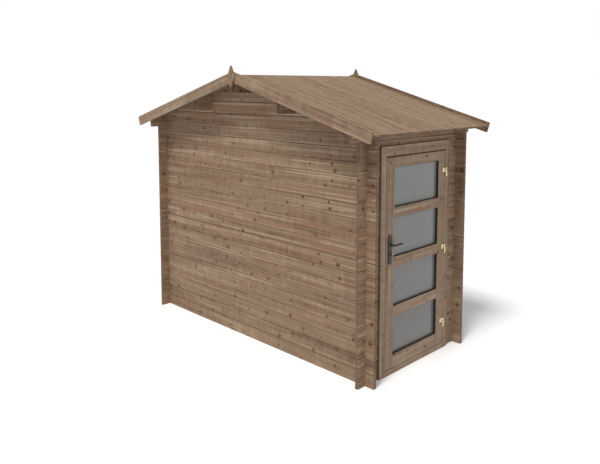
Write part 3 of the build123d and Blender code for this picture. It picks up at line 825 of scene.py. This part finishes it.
@dataclass
class PaneSealsAndShade:
    """Black seals that line the four pane openings of the leaf from the glass to near its face; their black
    is also painted shade in the recesses.
    """

    half_width: float = 0.322
    feet: tuple[float, ...] = (0.166, 0.584, 1.002, 1.420)    # lower edges of the openings
    height: float = 0.331
    glass_y: float = -1.4037
    front_y: float = -1.4262
    thickness: float = 0.0016
    foot: float = 1.6            # width of the foot on the glass, in thicknesses
    foot_height: float = 0.0015
    lip: float = 0.6             # width of the front edge, in thicknesses
    slope: float = 0.001         # height of the slopes over the foot and to the lip

    def build(self, material: Material) -> None:
        """Carries a section with a foot and a lip round each opening, mitred in every corner.

        Args:
            material: The finish.
        """
        corners = np.array(((-1, 0), (1, 0), (1, 1), (-1, 1)), float)
        inward = np.array(((1, 1), (-1, 1), (-1, -1), (1, -1)), float)
        inset = np.array((0, self.foot, self.foot, 1, 1, self.lip, 0)) * self.thickness
        top = self.glass_y - self.foot_height
        y = np.array((self.glass_y, self.glass_y, top, top - self.slope,
                      self.front_y + self.slope, self.front_y, self.front_y))
        rings = []
        for low in self.feet:
            rows = np.zeros((4, len(y), 3))
            rows[..., 0] = corners[:, :1] * self.half_width + inward[:, :1] * inset
            rows[..., 1] = y
            rows[..., 2] = low + corners[:, 1:] * self.height + inward[:, 1:] * inset
            rings.append(ring(rows[:, ::-1]))
        piece("pane_seals", rings, material, "door")


@dataclass
class Screws:
    """Countersunk heads with a crossed slot."""

    radius: float = 0.0034
    rise: float = 0.0006
    slot_depth: float = 0.00104
    slot_edges: tuple[float, float] = (0.0004, 0.0007)    # half width at the bottom and at the top
    slot_reach: float = 0.62     # the slot's length, as a share of the head's
    root: float = 0.002          # how deep the head reaches into the metal
    hub: float = 0.03            # the innermost ring, as a share of the radius
    rings: int = 9
    around: int = 32

    def head(self, centre: Triple, out: Triple) -> Surface:
        """One head: a low dome over a polar grid, pressed in along two crossed lines.

        Args:
            centre: Middle of the head on the surface it sits in.
            out: Unit vector out of that surface.

        Returns:
            Its points and faces.
        """
        share = np.linspace(1.0, self.hub, self.rings)[:, None]
        turn = circle(self.around)
        u, v = self.radius * share * np.cos(turn), self.radius * share * np.sin(turn)
        near = np.minimum(np.abs(u), np.abs(v))
        bottom, top = self.slot_edges
        cross = np.clip((top - near) / (top - bottom), 0, 1) * (share < self.slot_reach)
        lift = self.rise * (1 - share ** 2) - self.slot_depth * cross
        normal = Vector(out)
        side = normal.orthogonal().normalized()
        axes = np.array((side, normal.cross(side), normal))
        rows = np.array(centre) + np.stack((u, v, lift), -1) @ axes
        base = rows[:1] - axes[2] * self.root
        return loft(np.concatenate((base, rows)))

    def build(self, name: str, places: list[tuple[Triple, Triple]], material: Material,
              body: str) -> None:
        """Makes all heads of one fitting.

        Args:
            name: The piece's name.
            places: Middle and outward direction of every head.
            material: The finish.
            body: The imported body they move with.
        """
        piece(name, [self.head(centre, out) for centre, out in places], material, body, sharp=180.0)


@dataclass
class KeyholeRims:
    """A raised black rim round the keyhole of each lock plate."""

    middle_z: float = 1.0395
    straight: float = 0.00525    # half the length of the outline's straight sides
    inner: float = 0.0070
    width: float = 0.0050
    rise: float = 0.0016
    face_out: float = -1.4363
    face_in: float = -1.3797
    around: int = 40

    def rim(self, face: float, way: float) -> Surface:
        """One rim: a low rounded section carried round a long outline with half-round ends.

        A point is the radius times the cosine and the sine of the turn, with its upper half
        moved up and its lower half moved down by half the straight sides' length.

        Args:
            face: Y of the rim's foot.
            way: -1 outside, 1 inside.

        Returns:
            Its points and faces.
        """
        turn = circle(self.around) + math.pi / self.around
        middle = self.middle_z + np.sign(np.sin(turn)) * self.straight
        section = ((0.0, -0.001), (0.0, 0.6), (0.2, 1.0), (0.8, 1.0), (1.0, 0.6), (1.0, -0.001))
        rows = np.zeros((len(turn), len(section), 3))
        for number, (share, lift) in enumerate(section):
            radius = self.inner + share * self.width
            rows[:, number, 0] = LOCK_X + radius * np.cos(turn)
            rows[:, number, 1] = face + way * lift * self.rise
            rows[:, number, 2] = middle + radius * np.sin(turn)
        return ring(rows if way > 0 else rows[:, ::-1])

    def build(self, material: Material) -> None:
        """Makes the rims of both plates as one piece."""
        rims = [self.rim(self.face_out, -1.0), self.rim(self.face_in, 1.0)]
        piece("keyhole_rims", rims, material, "door", sharp=40.0)


@dataclass
class Hinges:
    """Three flag hinges: on each, the upper half turns with the leaf on the lower half's pin."""

    axis: tuple[float, float] = (0.4325, -1.435)
    heights: tuple[float, ...] = (0.248, 0.940, 1.643)
    flag_width: float = 0.048
    flag_height: float = 0.040
    flag_thickness: float = 0.0025
    corner: float = 0.016
    back: float = 0.0067
    edge: tuple[float, float] = (0.0002, 0.0007)    # steps of the round on a flag's front edge
    barrel: float = 0.006
    eased: float = 0.0004        # slope on the barrel's ends
    gap: float = 0.00025
    button: tuple[tuple[float, float], ...] = ((0.0008, 0.72), (0.0016, 0.86), (0.003, 0.8), (0.004, 0.42))
    screw_places: tuple[tuple[float, float], ...] = ((0.0375, 0.020), (0.0225, 0.0075), (0.0225, 0.0325))
    proud: float = 0.0001        # how far the screws stand over the flag

    def flag(self, side: float, low: float) -> Surface:
        """One flag: an outline with both outer corners rounded and a small round on its front edge.

        Args:
            side: -1 for the leaf's side of the pin, 1 for the frame's.
            low: Height of its lower edge.

        Returns:
            Its points and faces.
        """
        front = self.back - self.flag_thickness
        half, full = self.edge
        turn = np.linspace(0, math.pi / 2, 9)
        rows = []
        for y, inset in ((self.back, 0.0), (front + full, 0.0), (front + half, half), (front, full)):
            r = self.corner - inset
            x = self.flag_width - inset - r
            z0, z1 = low + inset, low + self.flag_height - inset
            lower = np.stack((x + r * np.sin(turn), z0 + r - r * np.cos(turn)), 1)
            upper = np.stack((x + r * np.cos(turn), z1 - r + r * np.sin(turn)), 1)
            flat = np.concatenate(([(0.0, z0)], lower, upper, [(0.0, z1)]))
            rows.append(np.insert(flat * (side, 1.0), 1, y, axis=1))
        stack = np.array(rows)
        return loft(stack if side > 0 else stack[:, ::-1])

    def knuckle(self, low: float, tip_at: float) -> Surface:
        """Half a barrel with eased ends and a button on the free one.

        Args:
            low: Height of its lower end.
            tip_at: 1 where the button is on top, -1 where it is below.

        Returns:
            Its points and faces.
        """
        r, e, high = self.barrel, self.eased, low + self.flag_height
        body = [(low, r - e), (low + e, r), (high - e, r), (high, r - e)]
        if tip_at > 0:
            return loft(turned(body + [(high + past, r * share) for past, share in self.button]))
        return loft(turned([(low - past, r * share) for past, share in reversed(self.button)] + body))

    def build(self, finishes: Finishes, screws: Screws) -> None:
        """Makes both halves of all hinges, with three screws in every flag.

        Args:
            finishes: The shed's finishes.
            screws: The maker of screw heads.
        """
        halves = ((-1.0, self.gap, 1.0, "door", "hinge_leaf_halves"),
                  (1.0, -self.gap - self.flag_height, -1.0, "shed", "hinge_frame_halves"))
        front = self.axis[1] + self.back - self.flag_thickness - self.proud
        for side, low, tip_at, body, node in halves:
            parts, places = [], []
            for height in self.heights:
                for points, faces in (self.flag(side, low), self.knuckle(low, tip_at)):
                    parts.append((points + (*self.axis, height), faces))
                for x, z in self.screw_places:
                    places.append(((self.axis[0] + side * x, front, height + low + z), (0.0, -1.0, 0.0)))
            made = piece(f"hinge_{body}_half", parts, finishes.brass, body, sharp=32.0)
            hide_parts(node)
            screws.build(f"hinge_screws_{body}", places, finishes.screw, body)


@dataclass
class Levers:
    """The two lever handles: a round bar that leaves the plate and bends along the leaf."""

    z: float = 1.117
    face_out: float = -1.428
    face_in: float = -1.388
    stand: float = 0.048
    reach: float = 0.112
    bend: float = 0.017
    grip: float = 0.0085
    neck: float = 0.0092
    shank: float = 0.008
    shank_depth: float = 0.003
    play: float = 0.0003
    plate: float = 0.008
    collar: float = 0.006
    eased: float = 0.0008        # slope on the neck's front edge
    bend_steps: int = 13
    nose_steps: int = 8
    nose_share: float = 0.97     # share of a quarter turn that the nose's rings cover

    def line(self) -> tuple[np.ndarray, ...]:
        """The bar's middle line from plate to tip.

        It runs straight out, turns a quarter circle and runs straight along the leaf, where its
        last points close up towards the tip as the sine of a quarter turn does.

        Returns:
            Distance out, distance along, heading and the bar's radius at each point, as columns.
        """
        quarter = math.pi / 2
        turn = np.linspace(0, quarter, self.bend_steps)
        nose = np.linspace(0, quarter, self.nose_steps)
        even = np.full(self.nose_steps, 1.0)
        start = [self.plate + self.play, self.plate + self.collar]
        out = (start, self.stand - self.bend + self.bend * np.sin(turn), self.stand * even)
        along = ([0, 0], self.bend - self.bend * np.cos(turn), self.reach - self.grip * (1 - np.sin(nose)))
        heading = ([0, 0], turn, quarter * even)
        radius = ([self.grip] * (2 + len(turn)), self.grip * np.cos(nose * self.nose_share))
        return tuple(np.concatenate(column)[:, None] for column in (out, along, heading, radius))

    def bar(self) -> np.ndarray:
        """The bar's rings: a circle carried along the middle line, square to its heading.

        Returns:
            Distance along the leaf, height and distance out of it, for every point of every ring.
        """
        out, along, heading, radius = self.line()
        turn = circle(24)
        swing = radius * np.cos(turn)
        places = (along + swing * np.cos(heading), radius * np.sin(turn), out - swing * np.sin(heading))
        return np.stack(places, -1)

    def rose(self) -> np.ndarray:
        """The rings of the shank through the plate and of the thicker neck in front of it."""
        foot, front = self.plate + self.play, self.plate + self.collar
        return turned([(-self.shank_depth, self.shank), (foot, self.shank), (foot, self.neck),
                       (front - self.eased, self.neck), (front, self.neck - self.eased)])

    def build(self, material: Material) -> None:
        """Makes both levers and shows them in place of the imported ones.

        Args:
            material: The finish.
        """
        for end, side, face in ((-1.0, "outer", self.face_out), (1.0, "inner", self.face_in)):
            parts = []
            for rings in (self.bar(), self.rose()):
                rows = rings[..., (0, 2, 1)] * (1.0, end, 1.0) + (LOCK_X, face, self.z)
                parts.append(loft(rows if end < 0 else rows[:, ::-1]))
            made = piece(f"lever_bar_{side}", parts, material, "lever", sharp=40.0)
            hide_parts(f"lever_{side}")


@dataclass
class Studio:
    """White floor, white surroundings, a soft key light from the gable's side and the camera."""

    sensor: float = 36.0         # width of the camera's sensor in millimetres
    clip: tuple[float, float] = (0.1, 400.0)
    focal_px: float = 638.5
    heading: float = 44.94
    pitch: float = 5.49
    place: Triple = (-4.522, -4.539, 2.423)
    drop_px: float = 86.0
    key_from: Triple = (-0.452, -0.115, 0.885)
    key_strength: float = 2.4
    key_softness: float = 14.0
    key_distance: float = 10.0
    fill: float = 0.31
    floor_half: float = 90.0
    floor_glow: float = 0.18
    paper: Colour = (0.90, 0.90, 0.90)

    def camera(self) -> None:
        """Sets the camera from its focal length in pixels, heading, pitch and picture shift."""
        data = bpy.data.cameras.new("picture_camera")
        data.sensor_width = self.sensor
        data.lens = self.focal_px * self.sensor / PICTURE_WIDTH
        data.shift_y = -self.drop_px / PICTURE_WIDTH
        data.clip_start, data.clip_end = self.clip
        made = show("picture_camera", data)
        turn, tilt = math.radians(self.heading), math.radians(self.pitch)
        forward = Vector((math.sin(turn) * math.cos(tilt), math.cos(turn) * math.cos(tilt), -math.sin(tilt)))
        turned_to = forward.to_track_quat("-Z", "Y").to_matrix().to_4x4()
        made.matrix_world = Matrix.Translation(self.place) @ turned_to
        bpy.context.scene.camera = made

    def seen(self, sheet: Sheet) -> Sock:
        """1 for rays that show the surroundings to the camera, in metal or through glass."""
        rays = [sheet.node("ShaderNodeLightPath", output=name)
                for name in ("Is Camera Ray", "Is Glossy Ray", "Is Transmission Ray")]
        return rays[0].math("MAXIMUM", rays[1]).math("MAXIMUM", rays[2])

    def world(self) -> None:
        """White where it is seen, and a little dimmer as the light that falls on the shed."""
        world = bpy.data.worlds.new("studio_world")
        bpy.context.scene.world = world
        sheet = Sheet(world)
        strength = self.seen(sheet) * (1.0 - self.fill) + self.fill
        back = sheet.node("ShaderNodeBackground", None, {"Color": (1.0, 1.0, 1.0), "Strength": strength})
        sheet.output(back, "ShaderNodeOutputWorld")

    def floor(self) -> None:
        """A wide pale floor, which keeps the shed's shadow."""
        half = self.floor_half
        corners = [(-half, -half, 0.0), (half, -half, 0.0), (half, half, 0.0), (-half, half, 0.0)]
        mesh = bpy.data.meshes.new("studio_floor")
        mesh.from_pydata(corners, [], [(0, 1, 2, 3)])
        made = show("studio_floor", mesh)
        sheet = Sheet.new("studio_paper")
        glow = self.seen(sheet) * self.floor_glow
        paper = sheet.finish(Base_Color=self.paper, Roughness=0.9, Specular_IOR_Level=0.0,
                             Emission_Color=sheet.grey(glow), Emission_Strength=1.0)
        mesh.materials.append(paper)

    def key(self) -> None:
        """The soft key light, far enough away to shine evenly."""
        data = bpy.data.lights.new("key_light", "SUN")
        data.energy = self.key_strength
        data.angle = math.radians(self.key_softness)
        made = show("key_light", data)
        made.rotation_mode = "QUATERNION"
        made.rotation_quaternion = Vector(self.key_from).to_track_quat("Z", "Y")
        made.location = Vector(self.key_from) * self.key_distance

    def build(self) -> None:
        """Sets the whole studio and the plain view transform."""
        bpy.context.scene.view_settings.view_transform = "Standard"
        self.camera()
        self.world()
        self.floor()
        self.key()


@dataclass
class Shed:
    """The shed's parts that are dressed, and the pieces added to them."""

    finishes: Finishes
    plate_z: tuple[float, float] = (0.950, 1.200)
    plate_y: tuple[float, float] = (-1.436, -1.380)
    inset: float = 0.014         # from a plate's end to its screw
    sunk: float = 0.0001         # how deep the plate's screws sit in its face

    def dress(self) -> None:
        """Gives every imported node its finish."""
        f = self.finishes
        walls = ("back_wall", "front_wall_left", "front_wall_right", "front_wall_header")
        table = (
            (f.gable, ("gable_wall_left", "gable_wall_right")),
            (f.cross, (*walls, "front_wall_plate", "back_wall_plate")),
            (f.purlin_with_end_shade, ("ridge_purlin", "front_purlin", "back_purlin")),
            (f.trim_front, ("bargeboard_left_front", "bargeboard_right_front")),
            (f.trim_back, ("bargeboard_left_back", "bargeboard_right_back")),
            (f.finial, ("finial_left", "finial_right")),
            (f.floor, ("floor_bearers",)),
            (f.upright, ("frame_jamb_hinge_side", "frame_jamb_lock_side",
                         "leaf_stile_hinge_side", "leaf_stile_lock_side")),
            (f.rail, ("frame_head", "frame_sill", "leaf_top_rail", "leaf_bottom_rail", "leaf_mid_rail_1",
                      "leaf_mid_rail_2", "leaf_mid_rail_3", "glazing_beads")),
            (f.glass, ("glass_panes",)),
            (f.plate, ("lock_plate_outer", "lock_plate_inner")),
            (f.steel, ("lock_case", "lever_spindle", "strike_plate")),
        )
        for material, nodes in table:
            for node in nodes:
                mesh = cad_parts[node].data
                mesh.materials.clear()
                mesh.materials.append(material)

    def plate_screws(self) -> list[tuple[Triple, Triple]]:
        """Places and directions of the screws near the ends of both lock plates."""
        low, high = self.plate_z
        return [((LOCK_X, y - way * self.sunk, z), (0.0, way, 0.0))
                for y, way in zip(self.plate_y, (-1.0, 1.0)) for z in (low + self.inset, high - self.inset)]

    def build(self) -> None:
        """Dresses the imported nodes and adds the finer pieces."""
        f = self.finishes
        self.dress()
        RoofBoards(Grain.FRONT_SLOPE).build("front_roof_boards", "roof_front_slope", f.roof_front)
        RoofBoards(Grain.BACK_SLOPE).build("back_roof_boards", "roof_back_slope", f.roof_back)
        FloorBoards().build(f.floor)
        PaneSealsAndShade().build(f.seal_and_shade)
        Hinges().build(f, Screws(radius=0.0046))
        Levers().build(f.black)
        KeyholeRims().build(f.black)
        Screws().build("plate_screws", self.plate_screws(), f.black, "door")


def main() -> None:
    """Builds the dressed shed and its studio."""
    logging.basicConfig(level=logging.INFO, format="%(name)s: %(message)s")
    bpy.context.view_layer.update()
    Shed(Finishes()).build()
    Studio().build()
    bpy.context.view_layer.update()


if __name__ == "__main__":
    main()
